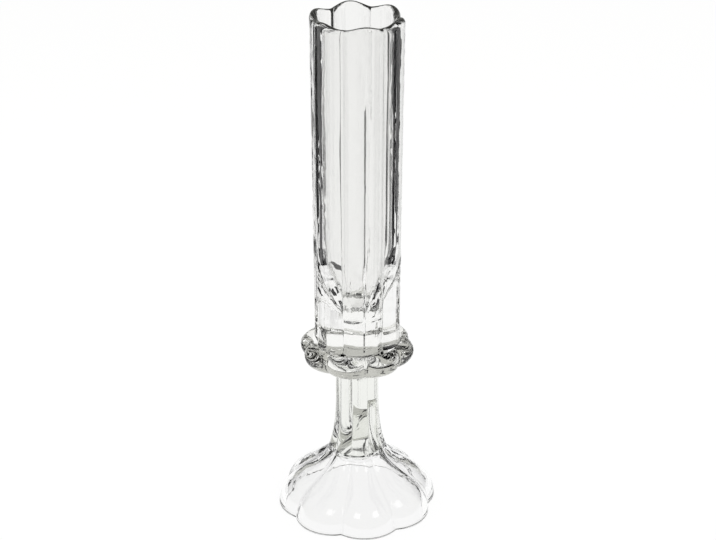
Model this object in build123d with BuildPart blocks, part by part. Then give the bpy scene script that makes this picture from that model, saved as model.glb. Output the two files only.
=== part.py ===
import os
from math import cos, pi, sin

from build123d import *

# Pressed clear glass trumpet vase: a foot, a stem, a collar and a tube, one on top of the other, joined hot.
# Millimetres, +Z up, origin at the middle of the foot's resting ring. The mould's seam lies in the YZ plane,
# where a petal, a flute of the stem and a flute of the tube have their crowns and two beads of the collar meet.

# Foot: a hollow bell of rounded petals
foot_petals = 8
foot_radius = 38.8
foot_petal_depth = 3.4
foot_wall = 2.8
foot_edge_rounding = 0.7
foot_edge_rise = 17.0
foot_height = 30.0

# Hollow: left by the plunger, up through the foot and in a slim tip into the stem
hollow_climb = 5.0
hollow_core_radius = 3.0
hollow_core_drop = 4.0
hollow_reach = 24.0
hollow_tip_radius = 1.5

# Stem: one flute above each petal of the foot
neck_radius = 14.3
neck_sweep = 12.0
stem_radius = 10.4
stem_length = 42.9
stem_flute_depth = 1.1
stem_flare_power = 4

# Collar: a bulging ring of beads over a shallow bowl, the wafer between stem and tube
collar_beads = 8
collar_radius = 27.3
collar_thickness = 10.4
collar_land = 0.8
collar_bead_depth = 2.8
bowl_depth = 6.6

# Tube: rounded flutes outside, a smooth bore with a long round end, a solid base and a rounded rim
tube_flutes = 6
tube_length = 160.1
tube_base_radius = 20.8
tube_rim_radius = 21.9
tube_flute_depth = 2.5
tube_base_thickness = 10.5
tube_base_rounding = 2.0
bore_radius = 16.8
bore_end_length = 44.0
bore_tip_rounding = 9.0
rim_outer_rounding = 1.6
rim_inner_rounding = 0.7

# Rounding of the hollows between lobes, and of the ridges that they make inside
valley_rounding = 0.8
ridge_rounding = 1.2

# Heights of the joints, from the foot up
collar_base = foot_height + stem_length
bead_base = collar_base + bowl_depth
tube_base = bead_base + collar_thickness
rim_height = tube_base + tube_length

# Angles of the first crowns, in degrees from +X
front = -90.0
bead_angle = front + 180.0 / collar_beads

# Sections along each flared form
flare_steps = 8


def lobed_section(height, crown, depth, rounding, lobes, first_angle):
    """A level section of round lobes, tangent to the rounded hollows of the given depth between them."""
    step = 360.0 / lobes
    half = pi / lobes
    hollow_centre = crown - depth + rounding
    lobe_centre = depth * (crown + rounding + hollow_centre)
    lobe_centre /= 2 * (crown + rounding - hollow_centre * cos(half))
    lobe_radius = crown - lobe_centre
    share = lobe_radius / (lobe_radius + rounding)
    meet_x = lobe_centre + share * (hollow_centre * cos(half) - lobe_centre)
    meet_y = share * hollow_centre * sin(half)
    with BuildSketch(Plane.XY.offset(height)) as section:
        with BuildLine():
            for lobe in range(lobes):
                angle = first_angle + step * lobe
                start = Vector(meet_x, -meet_y).rotate(Axis.Z, angle)
                end = Vector(meet_x, meet_y).rotate(Axis.Z, angle)
                onward = Vector(meet_x, -meet_y).rotate(Axis.Z, angle + step)
                ThreePointArc(start, Vector(crown, 0).rotate(Axis.Z, angle), end)
                ThreePointArc(end, Vector(crown - depth, 0).rotate(Axis.Z, angle + step / 2), onward)
        make_face()
    return section.sketch


def petal_depth(radius):
    """Depth between petals at a radius of the bell, from the stem's flutes at the neck to the foot's edge."""
    share = (radius - neck_radius) / (foot_radius - neck_radius)
    return stem_flute_depth + share * (foot_petal_depth - stem_flute_depth)


def stem_crown(share):
    """Crown radius of the stem at a share of its length, flaring down to the neck."""
    return stem_radius + (neck_radius - stem_radius) * (1 - share) ** stem_flare_power


# Foot: the bell's outline rises upright from the edge, over the shoulder and up into the slope of the stem
neck_slope = stem_flare_power * (stem_radius - neck_radius) / stem_length
with BuildLine(Plane.XZ) as bell:
    bell_curve = Bezier(
        (foot_radius, 0),
        (foot_radius, foot_edge_rise),
        (neck_radius - neck_slope * neck_sweep, foot_height - neck_sweep),
        (neck_radius, foot_height),
    )

# Hollow: follows the wall over the shoulder, then draws in to the tip
hollow_points = []
for step in range(flare_steps // 2 + 1):
    point = bell_curve @ (step / flare_steps)
    tangent = bell_curve % (step / flare_steps)
    hollow_points.append(Vector(point.X - foot_wall * tangent.Z, point.Z + foot_wall * tangent.X))
climb = Vector(tangent.X, tangent.Z) * hollow_climb
with BuildLine() as plunger:
    plunger_curve = Bezier(
        hollow_points[-1],
        hollow_points[-1] + climb,
        (hollow_core_radius, foot_height - hollow_core_drop),
        (hollow_tip_radius, foot_height + hollow_reach),
    )
hollow_points += [plunger_curve @ (step / flare_steps) for step in range(1, flare_steps + 1)]

with BuildPart() as hollow:
    sections = []
    for point in hollow_points:
        share = point.X / foot_radius
        depth = foot_petal_depth * share
        sections.append(lobed_section(point.Y, point.X, depth, ridge_rounding * share, foot_petals, front))
    loft(sections)

with BuildPart() as foot:
    sections = []
    for step in range(flare_steps + 1):
        point = bell_curve @ (step / flare_steps)
        depth = petal_depth(point.X)
        sections.append(lobed_section(point.Z, point.X, depth, valley_rounding, foot_petals, front))
    loft(sections)
    add(hollow.part, mode=Mode.SUBTRACT)
    fillet(foot.faces().sort_by(Axis.Z)[0].edges(), foot_edge_rounding)

# Stem: stands on the neck of the foot
with BuildPart() as stem:
    sections = []
    for step in range(flare_steps + 1):
        share = step / flare_steps
        height = foot_height + share * stem_length
        crown = stem_crown(share)
        sections.append(lobed_section(height, crown, stem_flute_depth, valley_rounding, foot_petals, front))
    loft(sections)
    add(hollow.part, mode=Mode.SUBTRACT)

# Collar: a bowl seated flat on the stem, under a disc with its edge rounded into beads
bead_rounding = (collar_thickness - collar_land) / 2
with BuildPart() as collar:
    disc = lobed_section(bead_base, collar_radius, collar_bead_depth, valley_rounding, collar_beads, bead_angle)
    extrude(disc, amount=collar_thickness)
    flats = collar.faces().filter_by(GeomType.PLANE)
    fillet(flats.edges(), bead_rounding)
    with Locations((0, 0, collar_base)):
        bowl_radius = collar_radius - collar_bead_depth - bead_rounding
        Cone(stem_radius, bowl_radius, bowl_depth, align=(Align.CENTER, Align.CENTER, Align.MIN))

# Tube: seated flat on the collar, its bore drawn in along one arc that runs into a round tip
bore_tip = tube_base + tube_base_thickness
bore_bend = bore_tip + bore_end_length
tip_drop = bore_end_length - bore_tip_rounding
taper_radius = (bore_radius**2 + tip_drop**2 - bore_tip_rounding**2) / (2 * (bore_radius - bore_tip_rounding))
meet_share = taper_radius / (taper_radius - bore_tip_rounding)
meet_x = (taper_radius - bore_radius) * (meet_share - 1)
meet_z = bore_bend - meet_share * tip_drop
with BuildPart() as bore:
    with BuildSketch(Plane.XZ):
        with BuildLine():
            taper = TangentArc((bore_radius, bore_bend), (meet_x, meet_z), tangent=(0, -1))
            tip = TangentArc(taper @ 1, (0, bore_tip), tangent=taper % 1)
            Polyline(tip @ 1, (0, rim_height), (bore_radius, rim_height), taper @ 0)
        make_face()
    revolve(axis=Axis.Z)

with BuildPart() as fluted_tube:
    sections = []
    for height, crown in ((tube_base, tube_base_radius), (rim_height, tube_rim_radius)):
        sections.append(lobed_section(height, crown, tube_flute_depth, valley_rounding, tube_flutes, front))
    loft(sections, ruled=True)
    add(bore.part, mode=Mode.SUBTRACT)
    fillet(fluted_tube.faces().sort_by(Axis.Z)[-1].outer_wire().edges(), rim_outer_rounding)
    fillet(fluted_tube.faces().sort_by(Axis.Z)[-1].inner_wires()[0].edges(), rim_inner_rounding)
    fillet(fluted_tube.faces().sort_by(Axis.Z)[0].edges(), tube_base_rounding)

os.makedirs("parts", exist_ok=True)
for name, piece in (("foot", foot), ("stem", stem), ("collar", collar), ("fluted_tube", fluted_tube)):
    piece.part.label = name
    export_step(piece.part, f"parts/{name}.step")
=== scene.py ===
from math import atan2, copysign, cos, degrees, hypot, pi, radians, sin, sqrt

import bpy
from mathutils import Matrix, Vector
from mathutils.geometry import interpolate_bezier
from mathutils.noise import noise


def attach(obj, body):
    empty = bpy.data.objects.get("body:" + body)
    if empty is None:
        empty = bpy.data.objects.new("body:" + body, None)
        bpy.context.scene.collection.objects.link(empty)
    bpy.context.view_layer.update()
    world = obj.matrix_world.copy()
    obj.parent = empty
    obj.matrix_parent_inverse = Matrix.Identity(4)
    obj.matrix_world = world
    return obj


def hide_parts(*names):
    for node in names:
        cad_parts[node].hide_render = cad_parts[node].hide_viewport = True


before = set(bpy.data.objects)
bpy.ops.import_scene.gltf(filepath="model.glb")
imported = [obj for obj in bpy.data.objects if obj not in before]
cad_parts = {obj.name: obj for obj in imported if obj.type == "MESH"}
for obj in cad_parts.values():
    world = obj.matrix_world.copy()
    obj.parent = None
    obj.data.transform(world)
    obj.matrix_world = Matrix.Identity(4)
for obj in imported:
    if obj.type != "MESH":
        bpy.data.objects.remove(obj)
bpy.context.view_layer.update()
scene = bpy.context.scene
scene.view_settings.view_transform = "Standard"

# Foot: the hollow bell of eight petals that the vase stands on. Sizes are in mm.
# Clear soda-lime glass, pressed round a plunger that leaves the hollow, with its resting edge ground flat.
mm = 0.001
columns = 288
petals = 8
front = -90.0
foot_radius = 38.8
foot_height = 30.0
foot_petal_depth = 3.4
foot_wall = 2.8
foot_edge_rounding = 0.7
foot_edge_rise = 17.0
foot_tint = "#fefefe"
foot_streak_length = 12.0
foot_streak_depth = 0.04
neck_radius = 14.3
neck_sweep = 12.0
neck_lean = 0.364
stem_flute_depth = 1.1
stem_valley_rounding = 0.4
plunger_climb = 5.0
plunger_core_radius = 6.0
plunger_core_drop = 4.0
plunger_tip = 54.0
tip_rounding = 4.5
valley_rounding = 0.8
ridge_rounding = 1.2
joint_lap = 0.02
merge_distance = 0.001
level_normal = 0.99
edge_steps = 4
bell_steps = 24
hollow_first = 11
plunger_steps = 36
glass_ior = 1.52
streak_width = 2.5
ground_height = 0.6
ground_roughness = 0.4


def linear(hex_colour):
    """An sRGB hex colour as linear RGBA."""
    channels = [int(hex_colour[i : i + 2], 16) / 255 for i in (1, 3, 5)]
    return (*[c / 12.92 if c <= 0.04045 else ((c + 0.055) / 1.055) ** 2.4 for c in channels], 1.0)


def add_node(owner, kind, settings=(), sockets=(), links=()):
    """Adds a node with its settings, its socket values and its links from other nodes' outputs."""
    node = owner.node_tree.nodes.new(kind)
    for name, value in dict(settings).items():
        setattr(node, name, value)
    for name, value in dict(sockets).items():
        node.inputs[name].default_value = value
    for name, output in dict(links).items():
        owner.node_tree.links.new(output, node.inputs[name])
    return node


def new_material(name):
    """A node material with no nodes yet."""
    material = bpy.data.materials.new(name)
    material.use_nodes = True
    material.node_tree.nodes.clear()
    return material


def pressed_glass(name, tint, streak_length, streak_depth):
    """Clear pressed soda-lime glass: sharp gloss, strong bending at the flutes and a faint tint.

    The cool mould leaves faint streaks along the flow of the glass. The resting edge is ground matt.
    """
    material = new_material(name)
    place = add_node(material, "ShaderNodeTexCoord")
    across = 1 / (streak_width * mm)
    flow = add_node(
        material,
        "ShaderNodeMapping",
        sockets={"Scale": (across, across, 1 / (streak_length * mm))},
        links={"Vector": place.outputs["Object"]},
    )
    chill = add_node(
        material,
        "ShaderNodeTexNoise",
        sockets={"Scale": 1.0, "Detail": 1.0},
        links={"Vector": flow.outputs["Vector"]},
    )
    streaks = add_node(
        material,
        "ShaderNodeBump",
        sockets={"Distance": streak_depth * mm},
        links={"Height": chill.outputs["Fac"]},
    )
    height = add_node(material, "ShaderNodeSeparateXYZ", links={"Vector": place.outputs["Object"]})
    ground = add_node(
        material,
        "ShaderNodeMapRange",
        sockets={"From Max": ground_height * mm, "To Min": ground_roughness, "To Max": 0.0},
        links={"Value": height.outputs["Z"]},
    )
    glass = add_node(
        material,
        "ShaderNodeBsdfPrincipled",
        sockets={"Base Color": linear(tint), "IOR": glass_ior, "Transmission Weight": 1.0},
        links={"Roughness": ground.outputs["Result"], "Normal": streaks.outputs["Normal"]},
    )
    add_node(material, "ShaderNodeOutputMaterial", links={"Surface": glass.outputs[0]})
    return material


def fused_seam():
    """Glass fused to glass: no surface is left between the two, so the joint shows nothing."""
    material = new_material("fused_glass_seam")
    seam = add_node(material, "ShaderNodeBsdfPrincipled", sockets={"Alpha": 0.0})
    add_node(material, "ShaderNodeOutputMaterial", links={"Surface": seam.outputs[0]})
    return material


def turned(name, outline):
    """A circle, extruded from point to point of an outline of (radius, height).

    Radius 0 closes it in a pole. An outline that ends where it starts is a ring, others start from a disc.
    """
    ring = outline[-1] == outline[0]
    bpy.ops.object.select_all(action="DESELECT")
    radius, height = outline[0]
    bpy.ops.mesh.primitive_circle_add(
        vertices=columns,
        radius=radius * mm,
        fill_type="NOTHING" if ring else "NGON",
        location=(0, 0, height * mm),
    )
    piece = bpy.context.object
    piece.name = name
    bpy.ops.object.transform_apply(location=True)
    bpy.ops.object.mode_set(mode="EDIT")
    bpy.ops.mesh.select_mode(type="EDGE" if ring else "FACE")
    bpy.ops.mesh.select_all(action="SELECT")
    for next_radius, next_height in outline[1:]:
        rise = (next_height - height) * mm
        bpy.ops.mesh.extrude_region_move(TRANSFORM_OT_translate={"value": (0, 0, rise)})
        if next_radius == 0:
            bpy.ops.mesh.merge(type="CENTER")
            break
        share = next_radius / radius
        bpy.ops.transform.resize(value=(share, share, 1), center_override=(0, 0, next_height * mm))
        radius, height = next_radius, next_height
    bpy.ops.mesh.select_all(action="SELECT")
    bpy.ops.mesh.remove_doubles(threshold=merge_distance * mm)
    bpy.ops.mesh.normals_make_consistent(inside=False)
    bpy.ops.object.mode_set(mode="OBJECT")
    bpy.ops.object.shade_smooth()
    return piece


def arc(centre_radius, centre_height, rounding, start, end, steps):
    """Points of (radius, height) on an arc, from one angle to another, in degrees from outwards."""
    turns = [radians(start + (end - start) * step / steps) for step in range(steps + 1)]
    return [(centre_radius + rounding * cos(t), centre_height + rounding * sin(t)) for t in turns]


def lobed_radius(angle, crown, depth, rounding, lobes, first_angle):
    """Distance from the axis to a section of round lobes, tangent to the rounded hollows between them."""
    half = pi / lobes
    off_crown = abs((angle - radians(first_angle) + half) % (2 * half) - half)
    hollow_centre = crown - depth + rounding
    lobe_centre = depth * (crown + rounding + hollow_centre)
    lobe_centre /= 2 * (crown + rounding - hollow_centre * cos(half))
    lobe_radius = crown - lobe_centre
    share = lobe_radius / (lobe_radius + rounding)
    meet_x = lobe_centre + share * (hollow_centre * cos(half) - lobe_centre)
    meet_y = share * hollow_centre * sin(half)
    if off_crown < atan2(meet_y, meet_x):
        return lobe_centre * cos(off_crown) + sqrt(lobe_radius**2 - (lobe_centre * sin(off_crown)) ** 2)
    off_hollow = half - off_crown
    in_hollow = rounding**2 - (hollow_centre * sin(off_hollow)) ** 2
    return hollow_centre * cos(off_hollow) - sqrt(max(in_hollow, 0))


def press_lobes(piece, lobes_at):
    """Presses lobes into a turned piece. lobes_at gives depth, rounding, lobes and first angle at a place."""
    for vertex in piece.data.vertices:
        x, y, z = vertex.co / mm
        crown = hypot(x, y)
        if crown == 0:
            continue
        share = lobed_radius(atan2(y, x), crown, *lobes_at(crown, z)) / crown
        vertex.co.x *= share
        vertex.co.y *= share


def dress(piece, node, glass, seams):
    """Gives a piece its glass, marks its joint faces as fused, and puts it in the place of its CAD node."""
    piece.data.materials.append(glass)
    piece.data.materials.append(seam_glass)
    for face in piece.data.polygons:
        level = abs(face.normal.z) > level_normal
        if level and any(abs(face.center.z / mm - height) < joint_lap / 2 for height in seams):
            face.material_index = 1
            face.use_smooth = False
    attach(piece, "root")
    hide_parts(node)


seam_glass = fused_seam()
bell = interpolate_bezier(
    Vector((neck_radius, foot_height)),
    Vector((neck_radius + neck_lean * neck_sweep, foot_height - neck_sweep)),
    Vector((foot_radius, foot_edge_rise)),
    Vector((foot_radius, 0.0)),
    bell_steps,
)
hollow = []
for above, here, below in zip(bell[hollow_first - 1 :], bell[hollow_first:], bell[hollow_first + 1 :]):
    along = (below - above).normalized()
    hollow.insert(0, here + foot_wall * Vector((along.y, -along.x)))
plunger = interpolate_bezier(
    hollow[-1],
    hollow[-1] + (hollow[-1] - hollow[-2]).normalized() * plunger_climb,
    Vector((plunger_core_radius, foot_height - plunger_core_drop)),
    Vector((tip_rounding, plunger_tip - tip_rounding)),
    plunger_steps,
)
in_foot = [point for point in plunger[1:] if point.y < foot_height]
in_stem = [point for point in plunger if point.y > foot_height]
crossing = (foot_height - in_foot[-1].y) / (in_stem[0].y - in_foot[-1].y)
mouth_radius = in_foot[-1].x + crossing * (in_stem[0].x - in_foot[-1].x)
outer_edge = foot_radius - foot_edge_rounding
inner_edge = foot_radius - foot_wall + foot_edge_rounding
foot_outline = [tuple(point) for point in bell if point.y > foot_edge_rounding]
foot_outline[0] = (neck_radius, foot_height + joint_lap)
foot_outline += arc(outer_edge, foot_edge_rounding, foot_edge_rounding, 0, -90, edge_steps)
foot_outline += arc(inner_edge, foot_edge_rounding, foot_edge_rounding, -90, -180, edge_steps)
foot_outline += [tuple(point) for point in hollow if point.y > foot_edge_rounding]
foot_outline += [tuple(point) for point in in_foot]
foot_outline.append((mouth_radius, foot_height + joint_lap))
foot_outline.append(foot_outline[0])


def bell_radius(height):
    """Crown radius of the bell at a height, between two points of its outline."""
    for above, below in zip(bell, bell[1:]):
        if above.y >= height >= below.y:
            share = (above.y - height) / (above.y - below.y)
            return above.x + share * (below.x - above.x)
    return neck_radius if height > foot_height else foot_radius


def hollow_lobes(crown):
    """Petals of the hollow, which run out towards the tip of the plunger."""
    share = crown / foot_radius
    return foot_petal_depth * share, ridge_rounding * share, petals, front


def foot_lobes(crown, height):
    """Petals inside and out, from the stem's flutes at the neck to the full depth at the edge."""
    if crown < bell_radius(height) - foot_wall / 2:
        return hollow_lobes(crown)
    share = (crown - neck_radius) / (foot_radius - neck_radius)
    depth = stem_flute_depth + share * (foot_petal_depth - stem_flute_depth)
    rounding = stem_valley_rounding + share * (valley_rounding - stem_valley_rounding)
    return depth, rounding, petals, front


foot = turned("foot_bell", foot_outline)
press_lobes(foot, foot_lobes)
foot_glass = pressed_glass("pressed_glass_foot", foot_tint, foot_streak_length, foot_streak_depth)
dress(foot, "foot", foot_glass, [foot_height + joint_lap])

# Stem: the neck of eight flutes that rises from the bell, one flute above each petal.
# The same glass, with the slanted end of the plunger's hollow inside it, joined hot to the collar.
stem_radius = 10.4
stem_length = 42.9
stem_flare_power = 4
stem_steps = 24
stem_tint = "#eff0ec"
stem_streak_length = 30.0
stem_streak_depth = 0.03
tip_lean = 2.0
tip_slant = 1.3
tip_steps = 3
wall_margin = 0.5
ring_margin = 0.1
collar_base = foot_height + stem_length


def stem_crown(height):
    """Crown radius of the stem at a height, flaring down to the neck."""
    share = 1 - (height - foot_height) / stem_length
    return stem_radius + (neck_radius - stem_radius) * share**stem_flare_power


stem_outline = []
for step in range(stem_steps + 1):
    height = foot_height + step / stem_steps * stem_length
    stem_outline.append((stem_crown(height), height))
stem_outline[-1] = (stem_radius, collar_base + joint_lap)
stem_outline.reverse()
stem_outline.append((mouth_radius, foot_height))
stem_outline += [tuple(point) for point in in_stem]
stem_outline += arc(0, plunger_tip - tip_rounding, tip_rounding, 0, 90, tip_steps)[1:-1]
stem_outline.append((0, plunger_tip))


def stem_lobes(crown, height):
    """Flutes outside, and the ends of the hollow's petals inside."""
    if crown < stem_radius - ring_margin:
        return hollow_lobes(crown)
    return stem_flute_depth, stem_valley_rounding, petals, front


def smooth_step(value, low, high):
    """0 below low, 1 above high, and an even passage between them."""
    share = min(1, max(0, (value - low) / (high - low)))
    return share * share * (3 - 2 * share)


stem = turned("stem_flutes", stem_outline)
press_lobes(stem, stem_lobes)
for vertex in stem.data.vertices:
    x, y, z = vertex.co / mm
    if hypot(x, y) < stem_crown(z) - stem_flute_depth - wall_margin:
        share = smooth_step(z, foot_height, plunger_tip)
        vertex.co.x += tip_lean * share * mm
        vertex.co.z += tip_slant * x * share * mm
stem_glass = pressed_glass("pressed_glass_stem", stem_tint, stem_streak_length, stem_streak_depth)
dress(stem, "stem", stem_glass, [foot_height, collar_base + joint_lap])

# Collar: the bulging wafer of eight beads, over a shallow bowl, between stem and tube.
# The same glass, a gather pressed flat between the two while all three are hot.
collar_beads = 8
collar_radius = 27.3
collar_thickness = 17.0
collar_tint = "#fafaf7"
collar_streak_length = 8.0
collar_streak_depth = 0.01
collar_bead_depth = 2.8
bead_valley_rounding = 1.6
bead_rounding = 5.2
bead_lip = 0.15
bead_top_fade = 0.7
bead_bowl_fade = 2
bead_steps = 16
bowl_slope = 27.0
bowl_steps = 8
tube_flutes = 6
tube_flute_depth = 2.5
flute_valley_rounding = 1.0
tube_base_radius = 20.8
base_flare = 0.2
base_flare_height = 3.0
bead_angle = front + 180.0 / collar_beads
tube_base = collar_base + collar_thickness
seat_radius = tube_base_radius + base_flare
bead_middle = tube_base - bead_rounding
bead_edge = arc(collar_radius - bead_rounding, bead_middle, bead_rounding, bowl_slope - 90, 0, bead_steps)
bowl_radius, bowl_top = bead_edge[0]
collar_outline = []
for step in range(bowl_steps):
    share = step / bowl_steps
    reach = stem_radius + share * (bowl_radius - stem_radius)
    collar_outline.append((reach, collar_base + share * (bowl_top - collar_base)))
collar_outline += bead_edge
for step in range(1, bead_steps + 1):
    turn = radians(90 * step / bead_steps)
    reach = seat_radius + (collar_radius - seat_radius) * cos(turn)
    collar_outline.append((reach + bead_lip, bead_middle + bead_rounding * sin(turn)))
collar_outline.append((seat_radius, tube_base))


def collar_lobes(crown, height):
    """Beads that are deepest at the widest ring and run out at the stem and at the tube."""
    above = height > bead_middle
    if crown < stem_radius + ring_margin:
        return stem_lobes(crown, height)
    if crown < seat_radius + ring_margin and above:
        return tube_flute_depth, flute_valley_rounding, tube_flutes, front
    inner = seat_radius if above else stem_radius
    share = max(0, (crown - inner) / (collar_radius - inner))
    depth = collar_bead_depth * share ** (bead_top_fade if above else bead_bowl_fade)
    return depth, bead_valley_rounding, collar_beads, bead_angle


collar = turned("collar_beads", collar_outline)
press_lobes(collar, collar_lobes)
collar_glass = pressed_glass("pressed_glass_collar", collar_tint, collar_streak_length, collar_streak_depth)
dress(collar, "collar", collar_glass, [collar_base, tube_base])

# Tube: the long holder of six rounded flutes, with shallow ones in its bore and a scalloped rim.
# The same glass, solid at its base, pressed round a plunger in a mould of two halves, its rim fire-polished.
tube_length = 160.1
tube_rim_radius = 21.9
tube_base_thickness = 10.5
tube_tint = "#f5f5f4"
tube_streak_length = 60.0
tube_streak_depth = 0.1
bore_radius = 17.7
bore_flute_depth = 1.6
bore_ridge_rounding = 1.4
bore_end_length = 44.0
bore_tip_rounding = 9.0
bore_last_turn = -88.0
rim_shoulder = 2.4
rim_crest_radius = 19.8
scallop_depth = 2.0
scallop_reach = 12.0
seam_height = 0.5
seam_width = 1.2
seam_fade_low = 212.0
seam_fade_high = 218.0
ripple_depth = 0.1
ripple_length = 6.0
ripple_height = 3.5
base_margin = 1.0
wall_steps = 110
flare_steps = 10
rim_steps = 12
lip_steps = 6
bore_steps = 30
taper_steps = 40
bore_tip_steps = 10


def tube_crown(height):
    """Crown radius of the tube at a height, widening evenly from the collar to the rim."""
    flare = max(0, 1 - (height - tube_base) / base_flare_height)
    widening = (height - tube_base) / tube_length * (tube_rim_radius - tube_base_radius)
    return tube_base_radius + widening + base_flare * flare**3


rim_height = tube_base + tube_length
bore_tip = tube_base + tube_base_thickness
bore_bend = bore_tip + bore_end_length
tip_drop = bore_end_length - bore_tip_rounding
taper_radius = (bore_radius**2 + tip_drop**2 - bore_tip_rounding**2) / (2 * (bore_radius - bore_tip_rounding))
meet_turn = -degrees(atan2(tip_drop, taper_radius - bore_radius))
wall_low = tube_base + base_flare_height
wall_high = rim_height - rim_shoulder
lip_rounding = rim_crest_radius - bore_radius
lip_height = rim_height - lip_rounding
tube_outline = [(tube_base_radius + base_flare, tube_base - joint_lap)]
for step in range(1, flare_steps):
    height = tube_base + (step / flare_steps) ** 2 * base_flare_height
    tube_outline.append((tube_crown(height), height))
for step in range(wall_steps):
    height = wall_low + step / wall_steps * (wall_high - wall_low)
    tube_outline.append((tube_crown(height), height))
for step in range(rim_steps + 1):
    turn = radians(90 * step / rim_steps)
    reach = rim_crest_radius + (tube_crown(wall_high) - rim_crest_radius) * cos(turn)
    tube_outline.append((reach, wall_high + rim_shoulder * sin(turn)))
tube_outline += arc(rim_crest_radius, lip_height, lip_rounding, 90, 180, lip_steps)[1:]
for step in range(1, bore_steps):
    tube_outline.append((bore_radius, lip_height + step / bore_steps * (bore_bend - lip_height)))
tube_outline += arc(bore_radius - taper_radius, bore_bend, taper_radius, 0, meet_turn, taper_steps)
bore_end = arc(0, bore_tip + bore_tip_rounding, bore_tip_rounding, meet_turn, bore_last_turn, bore_tip_steps)
tube_outline += bore_end[1:]
tube_outline.append((0, bore_tip))


def tube_lobes(crown, height):
    """Flutes outside that run down to the collar, and shallow ones in the bore."""
    if height > bore_tip - base_margin and crown < rim_crest_radius:
        share = crown / bore_radius
        return bore_flute_depth * share, bore_ridge_rounding * share, tube_flutes, front
    if height < wall_high:
        return tube_flute_depth, flute_valley_rounding, tube_flutes, front
    share = (crown - rim_crest_radius) / (tube_crown(wall_high) - rim_crest_radius)
    depth = bore_flute_depth + (tube_flute_depth - bore_flute_depth) * share
    return depth, flute_valley_rounding, tube_flutes, front


def off_seam(x, y):
    """Angle to the nearer of the mould's two seams, at the front and at the back."""
    return (atan2(y, x) - radians(front) + pi / 2) % pi - pi / 2


tube = turned("fluted_tube_wall", tube_outline)
press_lobes(tube, tube_lobes)
for vertex in tube.data.vertices:
    x, y, z = vertex.co / mm
    reach = hypot(x, y)
    if z > tube_base + base_margin and reach > rim_crest_radius + wall_margin:
        aside = off_seam(x, y)
        raised = 0
        if abs(aside) < pi / columns:
            raised = seam_height * (1 - smooth_step(z, seam_fade_low, seam_fade_high))
        elif abs(aside) < 3 * pi / columns:
            drawn_in = aside - copysign(seam_width / 2 / reach, aside)
            vertex.co.rotate(Matrix.Rotation(-drawn_in, 3, "Z"))
        wave = noise(Vector((x / ripple_length, y / ripple_length, z / ripple_height)))
        raised += ripple_depth * wave * smooth_step(rim_height - z, rim_shoulder, 2 * rim_shoulder)
        vertex.co.x *= 1 + raised / reach
        vertex.co.y *= 1 + raised / reach
    off_crown_share = (1 - cos(tube_flutes * (atan2(y, x) - radians(front)))) / 2
    lowered = scallop_depth * off_crown_share * smooth_step(z, rim_height - scallop_reach, rim_height)
    vertex.co.z -= lowered * mm
for face in tube.data.polygons:
    x, y, z = face.center / mm
    reach = hypot(x, y)
    on_seam = abs(off_seam(x, y)) < seam_width / reach
    if on_seam and reach > rim_crest_radius and z < seam_fade_high:
        face.use_smooth = False
tube_glass = pressed_glass("pressed_glass_tube", tube_tint, tube_streak_length, tube_streak_depth)
dress(tube, "fluted_tube", tube_glass, [tube_base - joint_lap])

# Floor: a wide sheet of white paper that the vase stands on, sizes in metres.
# Matt and pale. It looks white to the eye and through the glass, and keeps the vase's shadow.
floor_size = 8.0
paper_colour = "#f8f8f8"
white_share = 0.92
bpy.ops.object.select_all(action="DESELECT")
bpy.ops.mesh.primitive_plane_add(size=floor_size, location=(0, 0, 0))
floor = bpy.context.object
floor.name = "floor"
paper = new_material("white_paper")
light_path = add_node(paper, "ShaderNodeLightPath")
seen = light_path.outputs["Is Camera Ray"]
for ray in ("Is Glossy Ray", "Is Transmission Ray"):
    rays = {0: seen, 1: light_path.outputs[ray]}
    seen = add_node(paper, "ShaderNodeMath", {"operation": "MAXIMUM"}, links=rays).outputs[0]
share = add_node(paper, "ShaderNodeMath", {"operation": "MULTIPLY"}, {1: white_share}, {0: seen})
matt = add_node(paper, "ShaderNodeBsdfDiffuse", sockets={"Color": linear(paper_colour)})
glow = add_node(paper, "ShaderNodeEmission", sockets={"Color": (1, 1, 1, 1), "Strength": 1.0})
mixed = add_node(
    paper,
    "ShaderNodeMixShader",
    links={0: share.outputs[0], 1: matt.outputs[0], 2: glow.outputs[0]},
)
add_node(paper, "ShaderNodeOutputMaterial", links={"Surface": mixed.outputs[0]})
floor.data.materials.append(paper)

# Cards: matt black cards round the vase, which the eye doesn't see but the glass does. Sizes are in mm.
# Flags stand edge-on and draw the dark lines along the tube. Low cards darken the stem and the foot.
camera_azimuth = -10.0
card_black = "#1c1c1e"
flag_turns = (56.0, 73.0, 107.0, 124.0)
flag_near = 50.0
inner_flag_turn = 38.0
inner_flag_near = 130.0
flag_far = 250.0
flag_low = 95.0
flag_high = 232.0
card_distance = 140.0
card_low = 2.0
wide_card_turn = 60.0
wide_card_width = 80.0
wide_card_high = 70.0
small_card_turn = 30.0
small_card_width = 30.0
small_card_high = 18.0
black = new_material("black_card")
ink = add_node(black, "ShaderNodeBsdfDiffuse", sockets={"Color": linear(card_black)})
add_node(black, "ShaderNodeOutputMaterial", links={"Surface": ink.outputs[0]})


def heading(turn):
    """The level direction at a turn to the right of the camera's own heading."""
    azimuth = radians(90 - (turn - camera_azimuth))
    return Vector((cos(azimuth), sin(azimuth)))


def stand_card(name, start, end, low, high):
    """An upright black card from one point of the floor plan to another."""
    bpy.ops.object.select_all(action="DESELECT")
    bpy.ops.mesh.primitive_plane_add(size=1.0)
    card = bpy.context.object
    card.name = name
    for vertex in card.data.vertices:
        x, y = start if vertex.co.x < 0 else end
        z = low if vertex.co.y < 0 else high
        vertex.co = (x * mm, y * mm, z * mm)
    card.data.materials.append(black)
    card.visible_camera = False
    card.visible_diffuse = False
    card.visible_shadow = False


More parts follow.
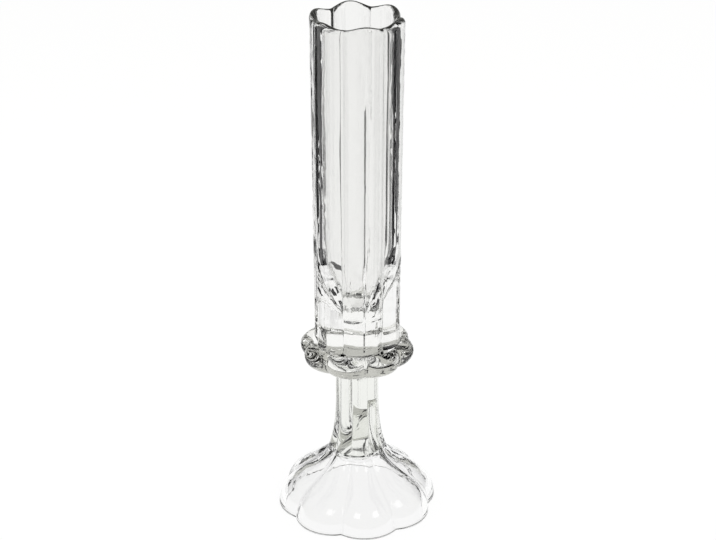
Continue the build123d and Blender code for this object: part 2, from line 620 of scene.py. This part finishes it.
flags = [(side * turn, flag_near) for side in (1, -1) for turn in flag_turns]
flags += [(side * inner_flag_turn, inner_flag_near) for side in (1, -1)]
for number, (turn, near) in enumerate(flags):
    stand_card(f"flag_{number}", near * heading(turn), flag_far * heading(turn), flag_low, flag_high)
low_cards = [(side * wide_card_turn, wide_card_width, wide_card_high) for side in (1, -1)]
low_cards += [(side * small_card_turn, small_card_width, small_card_high) for side in (1, -1)]
for number, (turn, width, high) in enumerate(low_cards):
    middle = card_distance * heading(turn)
    half = width / 2 * heading(turn - 90)
    stand_card(f"low_card_{number}", middle - half, middle + half, card_low, high)

# Light: an even grey room that looks white behind the vase, and soft lamps above and in front of it.
# Sizes and distances are in metres, powers in watts.
room_grey = "#c0c0bb"
top_lamp_size = 1.2
top_lamp_power = 14.0
top_lamp_height = 1.2
lamp_turns = (-22.0, 45.0)
lamp_elevation = 42.0
lamp_distance = 1.0
lamp_size = 0.25
lamp_power = 0.35
world = bpy.data.worlds.new("grey_room")
scene.world = world
world.use_nodes = True
world.node_tree.nodes.clear()
room = add_node(world, "ShaderNodeBackground", sockets={"Color": linear(room_grey), "Strength": 1.0})
white = add_node(world, "ShaderNodeBackground", sockets={"Color": (1, 1, 1, 1), "Strength": 1.0})
sight = add_node(world, "ShaderNodeLightPath")
backdrop = add_node(
    world,
    "ShaderNodeMixShader",
    links={0: sight.outputs["Is Camera Ray"], 1: room.outputs[0], 2: white.outputs[0]},
)
add_node(world, "ShaderNodeOutputWorld", links={"Surface": backdrop.outputs[0]})


def soft_lamp(name, size, power, location):
    """A square area lamp that shines straight down until it is turned."""
    lamp_data = bpy.data.lights.new(name, "AREA")
    lamp_data.size = size
    lamp_data.energy = power
    lamp = bpy.data.objects.new(name, lamp_data)
    lamp.location = location
    scene.collection.objects.link(lamp)
    return lamp


top_lamp = soft_lamp("top_lamp", top_lamp_size, top_lamp_power, (0, 0, top_lamp_height))
top_lamp.visible_glossy = False
top_lamp.visible_transmission = False
level = cos(radians(lamp_elevation)) * lamp_distance
rise = sin(radians(lamp_elevation)) * lamp_distance
for number, turn in enumerate(lamp_turns):
    azimuth = radians(turn + camera_azimuth - 90)
    place = (level * cos(azimuth), level * sin(azimuth), rise)
    lamp = soft_lamp(f"soft_lamp_{number}", lamp_size, lamp_power, place)
    lamp.rotation_euler = (radians(90 - lamp_elevation), 0, azimuth + pi / 2)

# Camera: the photograph's viewing angle, a little to the left of the seam and looking down. Sizes are in mm.
photo_width = 716
focal_pixels = 1810
shift_pixels = 1.0
sensor = 36.0
camera_distance = 765.0
camera_height = 491.8
camera_pitch = 25.6
camera_data = bpy.data.cameras.new("camera")
camera_data.sensor_fit = "HORIZONTAL"
camera_data.sensor_width = sensor
camera_data.lens = focal_pixels / photo_width * sensor
camera_data.shift_x = shift_pixels / photo_width
camera = bpy.data.objects.new("camera", camera_data)
scene.collection.objects.link(camera)
turn = radians(camera_azimuth)
camera.location = (camera_distance * mm * sin(turn), -camera_distance * mm * cos(turn), camera_height * mm)
camera.rotation_euler = (radians(90 - camera_pitch), 0, turn)
scene.camera = camera
